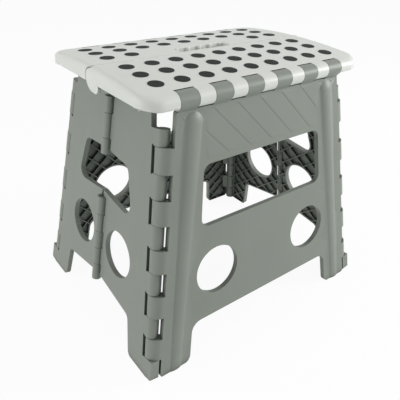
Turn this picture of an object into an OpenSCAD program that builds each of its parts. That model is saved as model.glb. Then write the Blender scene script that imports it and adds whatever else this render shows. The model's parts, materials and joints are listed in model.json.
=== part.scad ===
// Folding step stool: eight plastic mouldings on straight steel hinge pins.
// The seat halves fold up, the front and rear panels come together and the
// ends fold inwards between them. Origin: centre of the footprint, on the floor.

/* [Seat] */
// Height of the middle of the seat above the floor
stool_height = 317.6; // [300:0.1:345]
// Length of the seat from end to end
seat_length = 303; // [285:1:330]
// Distance of each seat edge hinge from the middle of the seat
hinge_half_span = 98.4; // [92:0.1:106]
// Radius of the crown across the seat
crown_radius = 850; // [600:10:1600]
// Radius of the rounded seat edge, and of the hooks in it
nose_radius = 9; // [8.5:0.1:9.6]
// Thickness of the seat's top skin
seat_skin = 2.8; // [2.2:0.1:3.4]
// Depth of the seat's rim below the middle of the top
rim_depth = 16.6; // [15:0.1:18]
// Radius of the seat's corners in plan
corner_radius = 22; // [16:1:24]
// Length of the hand slot
slot_length = 74; // [60:1:84]
// Width of the hand slot
slot_width = 16.5; // [13:0.5:18]
// Depth of the centre hinge below the middle of the top
pivot_depth = 21.5; // [20.5:0.1:23]

/* [Anti-slip pads] */
// Diameter of a pad
pad_diameter = 16; // [12:0.5:18]
// Spacing of the pads along the seat
pad_pitch = 30; // [26:0.5:31]
// Distance of the first row of pads from the seam
pad_first_row = 20.8; // [17:0.1:24]
// Spacing of the rows of pads
pad_row_pitch = 27.1; // [22:0.05:28]
// Height of a pad above the seat
pad_proud = 0.4; // [0.2:0.1:1]
// Depth of a pad's pocket
pad_seat = 1; // [0.6:0.1:1.4]

/* [Panels] */
// Thickness of a panel over its ribs
panel_thickness = 6.2; // [5.6:0.1:6.2]
// Thickness of a panel's outer skin
panel_skin = 2.4; // [1.8:0.1:3]
// Thickness of the ribs behind the skin
rib_thickness = 1.4; // [1:0.1:2]
// Spacing of the ribs
rib_pitch = 17; // [14:0.5:24]
// Slope of the front and rear panels from upright, in degrees
front_tilt = 7.44; // [6.5:0.01:8.5]
// Slope of the end panels from upright, in degrees
end_tilt = 9.35; // [8.5:0.01:10]
// Overhang of the seat past the end panels at its hinge
seat_overhang = 25.25; // [22:0.05:27]
// Distance from the seat hinge out to the face of its panel
hinge_inset = 2.2; // [1.5:0.1:2.8]
// Width of the white finger between two hooks
finger_width = 19.5; // [14:0.1:22]
// Width of the raised beads on the front and rear panels
bead_width = 22; // [16:0.5:23]
// Height of the raised beads
bead_height = 3; // [2:0.1:4]
// Diameter of the round holes in the front and rear panels
front_hole = 59; // [50:0.5:61]
// Diameter of the round holes in the ends
end_hole = 56.6; // [48:0.2:58]
// Depth of the ends' top edge below the seat's edge hinges
end_drop = 9.1; // [8:0.1:12]
// Depth of the notches in the ends' top corners below those hinges
notch_drop = 26.3; // [25:0.1:29]

/* [Hinges] */
// Outer radius of a corner knuckle
corner_knuckle_r = 7; // [6.6:0.1:7.2]
// Distance of the corner hinges behind the face of the front and rear panels
corner_back = 12; // [11.5:0.1:13]
// Height of the lowest corner knuckle of the front and rear panels
corner_first = 24.4; // [20:0.1:30]
// Length of the top corner knuckle of the ends
corner_last = 17.3; // [12:0.1:22]
// Depth of that knuckle's top below the seat's edge hinges
corner_drop = 25.8; // [25:0.1:29]
// Outer radius of a middle knuckle
middle_knuckle_r = 5.7; // [5:0.1:6]
// Radius of the steel pins in the panels
pin_radius = 2; // [1.5:0.1:2.4]
// Radius of the steel pins under the middle of the seat
center_pin_radius = 1.5; // [1.3:0.1:1.8]
// Radial clearance of a pin in its bore
pin_clearance = 0.05; // [0.03:0.01:0.09]
// Clearance between mouldings that move past each other
gap = 0.4; // [0.3:0.05:0.5]

/* [Hidden] */
$fn = 48;

grey = "#8a9188";
white = "#dfe3dd";
dark = "#3c3e3b";
steel = "#b4b7ba";

// Longer than any line across the stool
beyond = 400;

// Seat: the crown is a cylinder along X, and the nose touches it from inside
half_length = seat_length / 2;
crown_z = stool_height - crown_radius;
hinge_z = crown_z + sqrt(pow(crown_radius - nose_radius, 2) - pow(hinge_half_span, 2));
pivot_z = stool_height - pivot_depth;
rim_z = stool_height - rim_depth;
seam = gap / 2 - 0.05;
seat_wall = 2.8;
nose_rise = 14;
end_nose = 5;
web_drop = 4;
seat_rib = 2;
rib_y = [-65, -42];
rib_drop = 14.5;
tab_low = 0.15;
seat_pin_short = 12;
crown_fn = 720;

// Panels: each is drawn flat, with X along it, Y up its slope from the floor
// and Z outwards, and its outer face at Z = 0
front_foot = hinge_half_span + hinge_inset / cos(front_tilt) + hinge_z * tan(front_tilt);
end_foot = half_length - seat_overhang + hinge_z * tan(end_tilt);
hinge_up = hinge_z / cos(front_tilt) + hinge_inset * tan(front_tilt);
panel_top = hinge_up - nose_radius - 0.6;
end_top = (hinge_z - end_drop) / cos(end_tilt);
notch_up = (hinge_z - notch_drop) / cos(end_tilt);
foot_cut = 0.6;

// Corner hinge axis: it is corner_back behind the face of the front panel and
// the knuckle radius behind the face of the end. It leans by front_lean in a
// front panel and by end_lean in an end panel, and lengths are measured up it
// from the floor.
front_lean = atan(tan(end_tilt) * cos(front_tilt));
end_lean = atan(tan(front_tilt) * cos(end_tilt));
corner_front_x = end_foot - corner_knuckle_r / cos(end_tilt);
corner_end_x = front_foot - corner_back / cos(front_tilt);
corner_front_up = corner_back * tan(front_tilt);
corner_end_up = corner_knuckle_r * tan(end_tilt);
corner_count = 5;
corner_rise = norm([tan(front_tilt), tan(end_tilt), 1]);
corner_top = (hinge_z - corner_drop) * corner_rise;
corner_knuckle = (corner_top - corner_first - corner_last) / (2 * corner_count - 1);
// A front panel ends in front of the ends' knuckles, and an end behind the panel's
front_edge_gap = corner_knuckle_r - 0.8;
end_edge_gap = corner_knuckle_r + gap;
pocket_r = 1.5;
pin_end = 6;

// Middle hinge of an end: its axis lies just outside the outer face
middle_out = gap / 2;
middle_slot = 2.6;
// Top of the ends below the centre hinge, and the lengths of the knuckles there
center_clear = 11.5;
middle_top = (pivot_z - center_clear) / cos(end_tilt);
upper_knuckles = [18.2, 28.4, 18.7];
upper_starts = [middle_top - 18.8, middle_top - 47.2, middle_top - 65.9];
lower_top = 169.3;
lower_knuckle = 23.1;
lower_count = 5;

// Hooks of a front panel and the fingers of the seat between them
hook_count = 6;
hook_past = 0.5;
hook_half = front_edge(hinge_up, front_edge_gap) + hook_past;
hook_pitch = (2 * hook_half + finger_width) / hook_count;
hook_width = hook_pitch - finger_width;
hook_lip_r = nose_radius + 0.6;

// Centre hinge ears below the seat, on each side: outer end and width
front_ears = [[124, 6], [96, 6], [66, 6]];
rear_ears = [[147, 6], [116, 15], [86, 15]];
ear_r = 4.6;
// Free play of the centre hinge: its travel while the stool folds
play = [1.16, 1.34];
play_r = 2.05;
tab_reach = 2.6;
// Round lobe that closes the seam at both ends of the seat
lobe = [-3.5, -13];
lobe_r = 12.8;
chin = [-8.8, -18.2];
chin_r = 8;

function hook_x(i) = (i - (hook_count - 1) / 2) * hook_pitch;
function knuckle_at(i) = corner_first + 2 * i * corner_knuckle;
function lower_knuckle_at(i) = lower_top - (i + 1) * lower_knuckle;

// Corner edge of a panel at height y, at distance d inside the hinge axis
function front_edge(y, d) = corner_front_x - (y - corner_front_up) * tan(front_lean) - d / cos(front_lean);
function end_edge(y, d) = corner_end_x - (y - corner_end_up) * tan(end_lean) - d / cos(end_lean);

// Arc of a rounded corner at b between a and c
function fillet(a, b, c, r, n = 6) =
    let (u = (a - b) / norm(a - b), w = (c - b) / norm(c - b),
        half = acos(u * w) / 2, t = r / tan(half), m = (u + w) / norm(u + w),
        o = b + m * r / sin(half), s = b + u * t - o, e = b + w * t - o,
        turn = 180 - 2 * half, side = sign(s[0] * e[1] - s[1] * e[0]))
    [for (i = [0 : n]) o + [s[0] * cos(side * turn * i / n) - s[1] * sin(side * turn * i / n),
        s[0] * sin(side * turn * i / n) + s[1] * cos(side * turn * i / n)]];
// Closed outline with each corner [x, y, radius] rounded
function rounded(p) =
    let (n = len(p))
    [for (i = [0 : n - 1])
        let (a = p[(i + n - 1) % n], b = p[i], c = p[(i + 1) % n])
        each (b[2] > 0 ? fillet([a[0], a[1]], [b[0], b[1]], [c[0], c[1]], b[2]) : [[b[0], b[1]]])];
// The same outline, moved outwards by d; p runs anticlockwise
function grown(p, d) =
    let (n = len(p))
    [for (i = [0 : n - 1])
        let (a = p[(i + n - 1) % n], b = p[i], c = p[(i + 1) % n],
            u = [b[0] - a[0], b[1] - a[1]] / norm([b[0] - a[0], b[1] - a[1]]),
            w = [c[0] - b[0], c[1] - b[1]] / norm([c[0] - b[0], c[1] - b[1]]),
            k = d / (1 + u * w))
        [b[0] + k * (u[1] + w[1]), b[1] - k * (u[0] + w[0]), max(b[2] + d, 0)]];

// ---- Frames ----------------------------------------------------------------

// Turns a flat drawing into the panel on side 0 front, 1 right, 2 rear, 3 left
module stand_panel(side) {
    foot = side % 2 == 0 ? front_foot : end_foot;
    tilt = side % 2 == 0 ? front_tilt : end_tilt;
    rotate([0, 0, 90 * side]) translate([0, -foot, 0]) rotate([90 - tilt, 0, 0]) children();
}

// Frame on a corner hinge axis of a front panel drawing: Y runs up the axis
module at_corner(right) {
    mirror([right ? 0 : 1, 0, 0]) translate([corner_front_x, corner_front_up, -corner_back])
        rotate([0, 0, front_lean]) children();
}

// The same frame in an end panel drawing, on its side with positive X
module at_end_corner() {
    translate([corner_end_x, corner_end_up, -corner_knuckle_r]) rotate([0, 0, end_lean]) children();
}

// Straight bar along the Y axis
module bar(from, to, r) {
    translate([0, from, 0]) rotate([-90, 0, 0]) cylinder(r = r, h = to - from);
}

// Drawing in X and Z, drawn out along the Y axis
module drawn_out(from, to) {
    translate([0, to, 0]) rotate([90, 0, 0]) linear_extrude(to - from) children();
}

// Bar along the middle hinge axis of an end panel drawing
module along_middle(from, to, r) {
    translate([0, 0, middle_out]) bar(from, to, r);
}

// Everything below the floor
module below_floor() {
    translate([-beyond / 2, -beyond / 2, -beyond]) cube(beyond);
}

// ---- Ribbed plate ----------------------------------------------------------

// Crossed diagonal ribs over a square of half width s about c
module lattice(c, s, angles) {
    for (a = angles)
        translate(c) rotate(a)
            for (k = [-floor(s / rib_pitch) : floor(s / rib_pitch)])
                translate([-s * 1.45, k * rib_pitch - rib_thickness / 2]) square([s * 2.9, rib_thickness]);
}

// ---- Front and rear panels -------------------------------------------------

window_drop = 59.3;
window = [[-94.2, 167.4, 10], [94.2, 167.4, 10],
    [86.4, panel_top - window_drop, 10], [-86.4, panel_top - window_drop, 10]];
porthole = [74.5, 107.8];
arch_up = 50.3;
leg_inner = 121.5;
leg_slope = 7.5;
rim_width = 2.4;

front_outline = [
    [-leg_inner, -foot_cut, 10], [-leg_inner + leg_slope, arch_up, 14],
    [leg_inner - leg_slope, arch_up, 14], [leg_inner, -foot_cut, 10],
    [front_edge(-foot_cut, front_edge_gap), -foot_cut, 4],
    [front_edge(panel_top, front_edge_gap), panel_top, 0],
    [-front_edge(panel_top, front_edge_gap), panel_top, 0],
    [-front_edge(-foot_cut, front_edge_gap), -foot_cut, 4]];

module front_openings(grow) {
    polygon(rounded(grown(window, grow)));
    for (s = [-1, 1]) translate([s * porthole[0], porthole[1]]) circle(r = front_hole / 2 + grow, $fn = 64);
}

module front_plate() {
    translate([0, 0, -panel_skin]) linear_extrude(panel_skin) difference() {
        polygon(rounded(front_outline));
        front_openings(0);
    }
    translate([0, 0, -panel_thickness]) linear_extrude(panel_thickness - panel_skin + 0.01) difference() {
        intersection() {
            polygon(rounded(front_outline));
            union() {
                difference() {
                    polygon(rounded(front_outline));
                    polygon(rounded(grown(front_outline, -rim_width)));
                }
                front_openings(rim_width);
                lattice([0, 145], 190, [45, -45]);
            }
        }
        front_openings(0);
    }
}

// Profile of a hook in the plane across the seat hinge, seen along +X with
// the hinge axis at the origin and the panel below it
module hook_profile() {
    // lowest point of the fairing on the panel's face, and its tangent point
    low = [-hinge_inset, -nose_radius - 1.5];
    reach = acos(nose_radius / norm(low));
    touch = atan2(low[1], low[0]) - reach;
    rotate(-front_tilt) {
        translate([-hinge_inset, panel_top - hinge_up - 6])
            square([panel_thickness, hinge_up - panel_top + 6]);
        polygon([low, [0, 0], nose_radius * [cos(touch), sin(touch)]]);
    }
    circle(r = nose_radius, $fn = 96);
}

module hook_lip() {
    intersection() {
        circle(r = hook_lip_r, $fn = 96);
        translate([0, nose_radius / 2]) square([hook_lip_r, hook_lip_r]);
        translate([hinge_half_span, crown_z - hinge_z]) circle(r = crown_radius, $fn = crown_fn);
    }
}

// Hooks of the front panel, in the stool's own frame
module hooks() {
    for (i = [0 : hook_count - 1])
        translate([hook_x(i) - hook_width / 2, -hinge_half_span, hinge_z])
            rotate([90, 0, 90]) linear_extrude(hook_width) {
                hook_profile();
                hook_lip();
            }
}

// Raised half-round bead from below the hooks down to the foot. It sinks into
// the face a little on the way down.
bead_in = 27;
bead_rise = 4;
bead_sink = 1.6;
bead_past = 20;

module bead(right) {
    r = (pow(bead_width / 2, 2) + pow(bead_height, 2)) / (2 * bead_height);
    top = panel_top + bead_rise - bead_width / 2;
    mirror([right ? 0 : 1, 0, 0]) intersection() {
        translate([corner_front_x, corner_front_up, bead_height - r]) rotate([0, 0, front_lean])
            translate([-bead_in, 0, 0]) {
                translate([0, top, 0]) rotate([90 + atan(bead_sink / top), 0, 0]) {
                    sphere(r = r, $fn = 96);
                    cylinder(r = r, h = top + bead_past, $fn = 96);
                }
            }
        translate([0, -bead_past, -0.5]) cube([beyond / 2, beyond, bead_height + 1]);
    }
}

// Section of a front panel's knuckle, around the hinge axis: the barrel, the
// rounded corner in front of it and the web to the plate
module front_knuckle_section() {
    r = corner_knuckle_r;
    circle(r = r, $fn = 96);
    intersection() {
        translate([r - corner_back, 0]) circle(r = corner_back, $fn = 96);
        translate([r - corner_back, 0]) square(corner_back);
    }
    polygon([[r - corner_back + 0.01, corner_back], [-front_edge_gap - 1, corner_back],
        [-front_edge_gap - 1, corner_back - panel_thickness], [-r + 0.3, 0], [0, 0]]);
    translate([-front_edge_gap - 7, corner_back - panel_thickness])
        square([7, panel_thickness]);
    polygon([[-front_edge_gap - 7, corner_back - panel_thickness], [-r + 0.3, 0],
        [-front_edge_gap - 0.9, corner_back - panel_thickness + 0.1]]);
}

module front_knuckles() {
    for (right = [false, true]) for (i = [0 : corner_count - 1])
        at_corner(right) drawn_out(knuckle_at(i) + gap / 2, knuckle_at(i) + corner_knuckle - gap / 2)
            front_knuckle_section();
}

module wall_panel(side) {
    color(grey) difference() {
        union() {
            stand_panel(side) {
                front_plate();
                front_knuckles();
                bead(false);
                bead(true);
            }
            rotate([0, 0, 90 * side]) hooks();
        }
        stand_panel(side) for (right = [false, true])
            at_corner(right) bar(-10, corner_top - pin_end, pin_radius + pin_clearance);
        rotate([0, 0, 90 * side]) seat_pin_bar(pin_radius + pin_clearance, half_length);
        below_floor();
    }
}

// ---- End panels ------------------------------------------------------------

// Window, arch and holes of an end: their edges slope away from the middle
end_window_low = 178.2;
end_window_high = end_top - 68.1;
end_window = [[-10, end_window_low, 0], [65, end_window_low - 8.8, 12],
    [48.5, end_window_high - 4.4, 10], [-10, end_window_high, 0]];
end_hole_at = [43.9, 113.9];
end_arch = 62.8;
end_leg = 89.5;

end_outline = [
    [seam, end_arch, 0], [end_leg - 10.5, end_arch - 12.2, 8], [end_leg, -foot_cut, 9],
    [end_edge(-foot_cut, end_edge_gap), -foot_cut, 0], [end_edge(notch_up, end_edge_gap), notch_up, 0],
    [82.2, notch_up, 2], [78.8, end_top, 0], [17, end_top, 0], [17, middle_top + 0.6, 0],
    [seam, middle_top + 0.6, 0]];

module end_openings(grow) {
    polygon(rounded(grown(end_window, grow)));
    translate(end_hole_at) circle(r = end_hole / 2 + grow, $fn = 64);
}

module end_plate() {
    translate([0, 0, -panel_skin]) linear_extrude(panel_skin) difference() {
        polygon(rounded(end_outline));
        end_openings(0);
    }
    translate([0, 0, -panel_thickness]) linear_extrude(panel_thickness - panel_skin + 0.01) difference() {
        intersection() {
            polygon(rounded(end_outline));
            union() {
                difference() {
                    polygon(rounded(end_outline));
                    polygon(rounded(grown(end_outline, -rim_width)));
                }
                end_openings(rim_width);
                lattice([50, 145], 170, [38, -38]);
            }
        }
        end_openings(0);
    }
}

// A web lies this far below the tangent of its barrel
web_low = 0.02;

module end_knuckles() {
    starts = [for (i = [-1 : corner_count - 1]) i < 0 ? -8 : knuckle_at(i) + corner_knuckle];
    for (i = [0 : corner_count]) {
        from = starts[i] + gap / 2;
        to = (i == 0 ? corner_first : i == corner_count ? corner_top : starts[i] + corner_knuckle) - gap / 2;
        at_end_corner() {
            bar(from, to, corner_knuckle_r);
            translate([-end_edge_gap - 1, from, corner_knuckle_r - panel_thickness])
                cube([end_edge_gap + 1, to - from, panel_thickness - web_low]);
        }
    }
}

// Foot block that fills the stool's corner below the lowest knuckle
corner_foot = 10.5;
module end_foot_block() {
    at_end_corner() translate([0, 0, corner_knuckle_r - corner_foot]) linear_extrude(corner_foot)
        polygon(rounded([[-1, -foot_cut, 0], [corner_back - 0.3, -foot_cut, 3],
            [corner_back - 0.3, corner_first - gap / 2, 0], [-1, corner_first - gap / 2, 0]]));
}

// Small round pockets at the ends of the slots beside the panel's knuckles
module end_pockets() {
    for (i = [0 : corner_count - 1]) for (y = [knuckle_at(i), knuckle_at(i) + corner_knuckle])
        at_end_corner() translate([-end_edge_gap + pocket_r, y, -corner_knuckle_r])
            cylinder(r = pocket_r, h = 3 * corner_knuckle_r, $fn = 24);
}

// Rows of the middle hinge, [from, to, true where the outer half has it]
middle_rows = concat(
    [for (i = [0 : 2]) [upper_starts[i], upper_starts[i] + upper_knuckles[i], i % 2 == 0]],
    [for (i = [0 : lower_count - 1])
        [lower_knuckle_at(i), lower_knuckle_at(i) + lower_knuckle, i % 2 == 0]]);
// Play of the pivot at which the closed linkage is opened
open_play = 0.55;

// One half of an end. Half A has the odd rows of knuckles in the middle
// hinge, and half B the rows between; half A is drawn mirrored.
module end_half(side, is_a) {
    slot = middle_knuckle_r + gap + (is_a ? 0 : middle_slot);
    color(grey) difference() {
        stand_panel(side) mirror([is_a ? 1 : 0, 0, 0]) {
            difference() {
                union() {
                    end_plate();
                    end_knuckles();
                    end_foot_block();
                }
                for (row = middle_rows) if (row[2] != is_a)
                    translate([-1, row[0] - gap / 2, -panel_thickness - 1])
                        cube([slot + 1, row[1] - row[0] + gap, panel_thickness + 2]);
                end_pockets();
            }
            for (row = middle_rows) if (row[2] == is_a)
                along_middle(row[0] + gap / 2, row[1] - gap / 2, middle_knuckle_r);
        }
        stand_panel(side) mirror([is_a ? 1 : 0, 0, 0]) {
            at_end_corner() bar(pin_end - 1, corner_top - pin_end, pin_radius + pin_clearance);
            along_middle(-pin_end, beyond, pin_radius + (side == 1 && !is_a ? open_play : pin_clearance));
        }
        below_floor();
    }
}

// ---- Seat ------------------------------------------------------------------

module crown(r) {
    translate([-half_length - 5, 0, crown_z]) rotate([0, 90, 0])
        cylinder(r = r, h = seat_length + 10, $fn = crown_fn);
}

// Seat outline in plan for the front half, drawn in by d
module seat_plan(d) {
    x = half_length - d;
    y = hinge_half_span + nose_radius - d;
    r = corner_radius - d;
    translate([-x, -y + r]) square([2 * x, y - r - seam]);
    translate([-x + r, -y]) square([2 * (x - r), r + 1]);
    for (s = [-1, 1]) translate([s * (x - r), -y + r]) circle(r = r, $fn = 64);
}

module x_wall(x, w, y0, y1, z0) {
    translate([x - w / 2, y0, z0]) cube([w, y1 - y0, stool_height - z0]);
}

// Section across the front half: the crown as far as the nose, and the nose
module seat_section() {
    touch = hinge_half_span * crown_radius / (crown_radius - nose_radius);
    intersection() {
        translate([0, crown_z]) circle(r = crown_radius, $fn = crown_fn);
        translate([-touch, hinge_z - nose_radius - 1]) square([touch, beyond]);
    }
    translate([-hinge_half_span, hinge_z]) circle(r = nose_radius, $fn = 96);
}

// Body of the front half; the rear half is its mirror image
module seat_body() {
    intersection() {
        extrude_x(-half_length, seat_length) seat_section();
        translate([0, 0, hinge_z - nose_radius - 1]) linear_extrude(60) seat_plan(0);
        union() {
            difference() {
                translate([-half_length, -hinge_half_span, rim_z]) cube([seat_length, hinge_half_span, 60]);
                crown(crown_radius - seat_skin);
            }
            translate([0, 0, rim_z]) linear_extrude(40) difference() {
                seat_plan(0);
                seat_plan(seat_wall);
            }
            intersection() {
                translate([-half_length, -hinge_half_span, hinge_z]) rotate([0, 90, 0])
                    cylinder(r = nose_radius, h = seat_length, $fn = 96);
                translate([0, 0, hinge_z]) rotate([90, 0, 0]) linear_extrude(beyond) polygon([
                    [-half_length, rim_z - hinge_z - 0.5], [-half_length + nose_rise, -end_nose],
                    [-hook_half - gap, -end_nose], [-hook_half - gap, -nose_radius],
                    [hook_half + gap, -nose_radius], [hook_half + gap, -end_nose],
                    [half_length - nose_rise, -end_nose], [half_length, rim_z - hinge_z - 0.5],
                    [half_length, 20], [-half_length, 20]]);
            }
            // butt wall along the seam, wall behind the hooks and ribs between them
            translate([-half_length, -seam - 2.6, pivot_z + 9]) cube([seat_length, 2.6, 60]);
            translate([-half_length, -hinge_half_span + hook_lip_r + 0.8, rim_z])
                cube([seat_length, 2.4, 60]);
            for (y = rib_y) translate([-half_length, y - seat_rib / 2, stool_height - rib_drop])
                cube([seat_length, seat_rib, 30]);
            for (x = [-3 : 3])
                x_wall(x * hook_pitch, seat_rib, -hinge_half_span + hook_lip_r, -15,
                    stool_height - rib_drop);
            for (s = [-1, 1]) for (i = [0 : 1])
                x_wall(s * (half_length - 12 - 14 * i), seat_rib, -hinge_half_span, -15, rim_z);
        }
    }
    // webs that carry the fingers and the two ends
    intersection() {
        translate([0, 0, hinge_z - web_drop]) linear_extrude(nose_radius + 2) seat_plan(seat_wall / 2);
        for (i = [0 : hook_count]) {
            w = i == 0 || i == hook_count ? half_length - hook_half - web_drop : finger_width - 2 * gap;
            end_x = half_length - seat_wall - w / 2;
            x = i == 0 ? -end_x : i == hook_count ? end_x : hook_x(i) - hook_pitch / 2;
            translate([x - w / 2, -hinge_half_span, hinge_z - web_drop])
                cube([w, hook_lip_r + 1, nose_radius + 2]);
        }
    }
}

// Room in the seat for the hooks of the panel below it
module hook_room() {
    for (i = [0 : hook_count - 1])
        translate([hook_x(i) - hook_width / 2 - gap, -hinge_half_span, hinge_z]) rotate([0, 90, 0])
            cylinder(r = hook_lip_r + gap, h = hook_width + 2 * gap, $fn = 96);
}

// Pockets or pads on the front half: rows from the seam outwards
module pad_field(bottom, top, d, first_row_skip) {
    intersection() {
        difference() {
            crown(crown_radius + top);
            crown(crown_radius - bottom);
        }
        for (row = [0 : 2]) for (col = [-4 : 4]) if (row > 0 || abs(col) > first_row_skip)
            translate([col * pad_pitch, -pad_first_row - row * pad_row_pitch, hinge_z])
                cylinder(d = d, h = 60, $fn = 48);
    }
}

// Ear that hangs from the skin down to the centre hinge, in the plane YZ
module ear_profile(r, c) {
    translate([c[0], pivot_z + c[1]]) circle(r = r, $fn = 48);
    polygon([[-seam - (r > ear_r ? -2 * seam : 0), pivot_z + 3], [c[0], pivot_z + c[1] - r + 0.5],
        [c[0] - r + 0.6, pivot_z], [-22, stool_height - 2], [-seam, stool_height - 2]]);
}

module lobe_profile(extra) {
    translate([lobe[0], stool_height + lobe[1]]) circle(r = lobe_r + extra, $fn = 96);
}

// Chin of the lobe and its run into the rim
module chin_profile() {
    translate([chin[0], stool_height + chin[1]]) circle(r = chin_r, $fn = 48);
    polygon([[lobe[0], stool_height + lobe[1]],
        [chin[0] - chin_r * 0.8, stool_height + chin[1] - chin_r * 0.6],
        [chin[0] - chin_r - 3, rim_z - 2],
        [chin[0] - chin_r - 6, rim_z],
        [chin[0] - chin_r - 6, rim_z + 4]]);
}

module extrude_x(x0, w) {
    translate([x0, 0, 0]) rotate([90, 0, 90]) linear_extrude(w) children();
}

module seat_front() {
    color(white) difference() {
        union() {
            difference() {
                seat_body();
                hook_room();
                pad_field(pad_seat + 0.05, 20, pad_diameter + 0.1, -1);
                // windows for the tabs of the rear half
                for (s = [-1, 1]) for (e = [1, 2])
                    translate([s > 0 ? rear_ears[e][0] - rear_ears[e][1] - gap : -rear_ears[e][0] - gap,
                        -tab_reach - gap, hinge_z]) cube([rear_ears[e][1] + 2 * gap, 10, 60]);
            }
            for (s = [-1, 1]) {
                extrude_x(s > 0 ? half_length - seat_wall : -half_length, seat_wall) {
                    lobe_profile(0);
                    chin_profile();
                }
                for (e = front_ears) extrude_x(s > 0 ? e[0] - e[1] : -e[0], e[1]) ear_profile(ear_r, [0, 0]);
            }
        }
        seat_pin_bar(pin_radius + pin_clearance, half_length - seat_pin_short);
        center_bars(center_pin_radius + pin_clearance, 0);
    }
}

// Tab of the rear half that reaches into a window of the front half, just
// below the top of the skin
module tab_profile() {
    intersection() {
        translate([0, crown_z]) difference() {
            circle(r = crown_radius - tab_low, $fn = crown_fn);
            circle(r = crown_radius - seat_skin + tab_low, $fn = crown_fn);
        }
        translate([-tab_reach, hinge_z]) square([tab_reach + 2, 60]);
    }
}

module seat_rear() {
    color(white) difference() {
        union() {
            difference() {
                union() {
                    mirror([0, 1, 0]) seat_body();
                    slot_surround();
                }
                mirror([0, 1, 0]) hook_room();
                mirror([0, 1, 0]) pad_field(pad_seat + 0.05, 20, pad_diameter + 0.1, 2);
                hand_slot();
                // room for the lobes of the front half, at rest and on the way up
                for (s = [-1, 1])
                    extrude_x(s > 0 ? half_length - seat_wall - gap : -half_length - 5,
                        seat_wall + gap + 5) {
                        lobe_profile(gap);
                        translate([2.3, pivot_z + 2.3]) circle(r = ear_r + gap);
                    }
            }
            for (s = [-1, 1]) {
                for (e = rear_ears) extrude_x(s > 0 ? e[0] - e[1] : -e[0], e[1])
                    mirror([1, 0]) ear_profile(play_r + center_pin_radius + 2, [-play[0], play[1]]);
                for (e = [1, 2]) extrude_x(s > 0 ? rear_ears[e][0] - rear_ears[e][1] : -rear_ears[e][0],
                    rear_ears[e][1]) tab_profile();
            }
        }
        rotate([0, 0, 180]) seat_pin_bar(pin_radius + pin_clearance, half_length - seat_pin_short);
        translate([0, play[0], play[1]]) center_bars(center_pin_radius + play_r, 8);
    }
}

// Hand slot behind the seam, with finger grooves in its far wall
slot_near = 2;
slot_far = slot_near + slot_width;
finger_count = 4;

module slot_outline(d) {
    r = 5;
    x = slot_length / 2 + d;
    for (s = [-1, 1]) for (y = [slot_near - d + r, slot_far + d - r])
        translate([s * (x - r), y]) circle(r = r);
    translate([-x + r, slot_near - d]) square([2 * (x - r), slot_width + 2 * d]);
    translate([-x, slot_near - d + r]) square([2 * x, slot_width + 2 * d - 2 * r]);
}

module slot_surround() {
    intersection() {
        crown(crown_radius);
        translate([0, 0, stool_height - 12]) linear_extrude(40) intersection() {
            slot_outline(2.4);
            translate([-100, seam]) square([200, 60]);
        }
    }
}

module hand_slot() {
    pitch = (slot_length - 8) / finger_count;
    translate([0, 0, stool_height - 40]) linear_extrude(80) difference() {
        slot_outline(0);
        for (i = [0 : finger_count])
            translate([(i - finger_count / 2) * pitch, slot_far + 1.5]) circle(r = 4);
    }
}

// ---- Pins and pads ---------------------------------------------------------

module seat_pin_bar(r, half) {
    translate([-half, -hinge_half_span, hinge_z]) rotate([0, 90, 0]) cylinder(r = r, h = 2 * half);
}

center_in = 56;
module center_bars(r, longer) {
    for (s = [-1, 1]) translate([s > 0 ? center_in - longer : -half_length + 1 - longer / 8, 0, pivot_z])
        rotate([0, 90, 0]) cylinder(r = r, h = half_length - 1 - center_in + longer * 9 / 8);
}

module center_pin(s) {
    x0 = center_in + 1.5;
    color(steel) translate([s > 0 ? x0 : -half_length + 1.5, 0, pivot_z]) rotate([0, 90, 0])
        cylinder(r = center_pin_radius, h = half_length - 1.5 - x0);
}

module seat_pin(turn) {
    color(steel) rotate([0, 0, turn]) seat_pin_bar(pin_radius, half_length - seat_pin_short - 1);
}

module corner_pin(side, right) {
    color(steel) stand_panel(side) at_corner(right) bar(pin_end, corner_top - pin_end - 1, pin_radius);
}

module middle_pin(side, upper) {
    rows = upper ? [upper_starts[2], middle_top] : [lower_knuckle_at(lower_count - 1), lower_top];
    color(steel) stand_panel(side) along_middle(rows[0] + 1, rows[1] - 1, pin_radius);
}

module grip_pads(rear) {
    color(dark) mirror([0, rear ? 1 : 0, 0]) pad_field(pad_seat, pad_proud, pad_diameter, rear ? 2 : -1);
}

wall_panel(0);  // front_panel
wall_panel(2);  // rear_panel
seat_front();  // seat_front_half
seat_rear();  // seat_rear_half
end_half(3, false);  // left_end_front
end_half(3, true);  // left_end_rear
end_half(1, true);  // right_end_front
end_half(1, false);  // right_end_rear
grip_pads(false);  // front_grip_pads
grip_pads(true);  // rear_grip_pads
seat_pin(0);  // front_seat_pin
seat_pin(180);  // rear_seat_pin
center_pin(-1);  // center_pin_left
center_pin(1);  // center_pin_right
corner_pin(0, false);  // corner_pin_front_left
corner_pin(0, true);  // corner_pin_front_right
corner_pin(2, true);  // corner_pin_rear_left
corner_pin(2, false);  // corner_pin_rear_right
middle_pin(3, true);  // middle_pin_left_upper
middle_pin(3, false);  // middle_pin_left_lower
middle_pin(1, true);  // middle_pin_right_upper
middle_pin(1, false);  // middle_pin_right_lower
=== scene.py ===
"""Dresses a folding step stool: a two-part plastic seat on four hinged panels.

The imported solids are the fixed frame. The seat's outer skin is worked out here
with numpy, the panels, pads and pins are eased copies of their solids, and each
piece gets a finish named for the real material.
"""

import json
import logging
import math
from dataclasses import dataclass, replace
from enum import Enum

import bmesh
import bpy
import numpy as np
from mathutils import Matrix, Vector


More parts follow.
